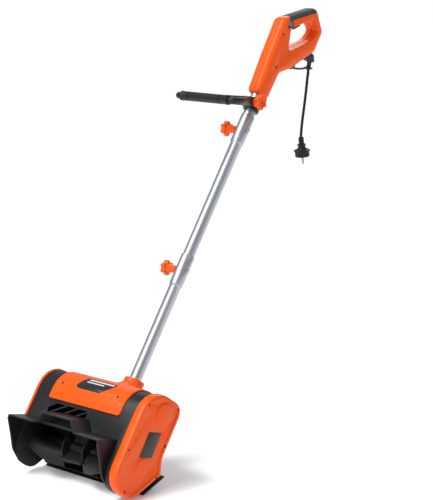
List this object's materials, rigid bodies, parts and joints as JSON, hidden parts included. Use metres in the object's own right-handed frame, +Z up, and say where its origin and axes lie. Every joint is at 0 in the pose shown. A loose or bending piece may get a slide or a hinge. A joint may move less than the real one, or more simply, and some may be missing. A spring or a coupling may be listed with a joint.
{
  "type": "electric snow blower",
  "caption": "Corded electric snow blower: wide rotor head with belt cover, three-part tube, front loop handle, rear D-handle with trigger, short hanging cord and plug.",
  "frame": {"origin": "on the ground under the head, on the plane halfway across the tube", "axes": "+Z up, the intake faces -Y, the operator stands at +Y, +X is the operator's left and the belt cover's side"},
  "size_m": [0.3568, 0.9499, 1.0761],
  "materials": {
    "black": "moulded, fine grain",
    "dark": "satin",
    "grey": "soft, matte",
    "orange": "moulded, satin",
    "rubber": "matte",
    "silver": "brushed",
    "steel": "zinc plated"
  },
  "bodies": {
    "machine": {"aux_clamp": "black", "bearing_left": "steel", "bearing_right": "steel", "belt_cover": "orange", "cord": "rubber", "cord_gland": "grey", "cord_hook": "rubber", "cover_screw_1": "steel", "cover_screw_2": "steel", "cover_screw_3": "steel", "cover_screw_4": "steel", "cover_screw_5": "steel", "cover_screw_6": "steel", "drive_belt": "rubber", "end_cover_left": "orange", "grip_overmold": "grey", "handle_screw_1": "steel", "handle_screw_2": "steel", "handle_screw_3": "steel", "handle_shell_left": "orange", "handle_shell_right": "orange", "hood_badge": "dark", "hood_screw_1": "steel", "hood_screw_2": "steel", "inner_cable": "rubber", "intake_scoop": "black", "joint_bolt_lower": "steel", "joint_bolt_upper": "steel", "motor_can": "steel", "motor_plate": "steel", "plug": "rubber", "plug_pin_1": "silver", "plug_pin_2": "silver", "rating_plate": "dark", "rotor_housing": "black", "scraper_bar": "dark", "switch_box": "dark", "top_hood": "orange", "trigger_pin": "steel", "trigger_spring": "steel", "tube_lower": "silver", "tube_middle": "silver", "tube_upper": "silver"},
    "rotor_body": {"rotor": "black", "rotor_shaft": "steel", "rotor_pulley": "silver"},
    "motor_rotor": {"motor_shaft": "steel", "motor_pulley": "silver", "cooling_fan": "grey"},
    "trigger_body": {"trigger": "dark"},
    "lock_button_body": {"lock_button": "grey"},
    "loop_handle": {"aux_handle": "black", "aux_grip": "rubber", "clamp_bolt": "steel"},
    "knob_lower": {"star_knob_lower": "orange"},
    "knob_upper": {"star_knob_upper": "orange"},
    "knob_clamp": {"star_knob_clamp": "orange"}
  },
  "joints": [
    {"name": "rotor_spin", "type": "hinge", "parent": "machine", "child": "rotor_body", "pos_m": [0, 0.02815, 0.07236], "axis": [1, 0, 0], "continuous": true},
    {"name": "motor_spin", "type": "hinge", "parent": "machine", "child": "motor_rotor", "pos_m": [0, 0.10273, 0.18127], "axis": [1, 0, 0], "continuous": true},
    {"name": "trigger_press", "type": "hinge", "parent": "machine", "child": "trigger_body", "pos_m": [0, 0.79586, 1.04825], "axis": [1, 0, 0], "range_deg": [0, 7], "stiffness_Nm_per_rad": 1.2, "springref_deg": -2.86},
    {"name": "lock_press", "type": "slide", "parent": "machine", "child": "lock_button_body", "axis": [-1, 0, 0], "range_m": [0, 0.0035], "stiffness_N_per_m": 500, "springref_m": -0.001},
    {"name": "loop_tilt", "type": "hinge", "parent": "machine", "child": "loop_handle", "pos_m": [0, 0.59315, 0.85503], "axis": [1, 0, 0], "range_deg": [-45, 30]},
    {"name": "knob_lower_turn", "type": "hinge", "parent": "machine", "child": "knob_lower", "pos_m": [-0.045, 0.35606, 0.45744], "axis": [1, 0, 0], "continuous": true},
    {"name": "knob_upper_turn", "type": "hinge", "parent": "machine", "child": "knob_upper", "pos_m": [-0.045, 0.57866, 0.78254], "axis": [1, 0, 0], "continuous": true},
    {"name": "knob_clamp_turn", "type": "hinge", "parent": "loop_handle", "child": "knob_clamp", "pos_m": [0.045, 0.59315, 0.85503], "axis": [1, 0, 0], "continuous": true}
  ],
  "couplings": [
    {"joint": "motor_spin", "follows": "rotor_spin", "ratio": 3.0909}
  ]
}
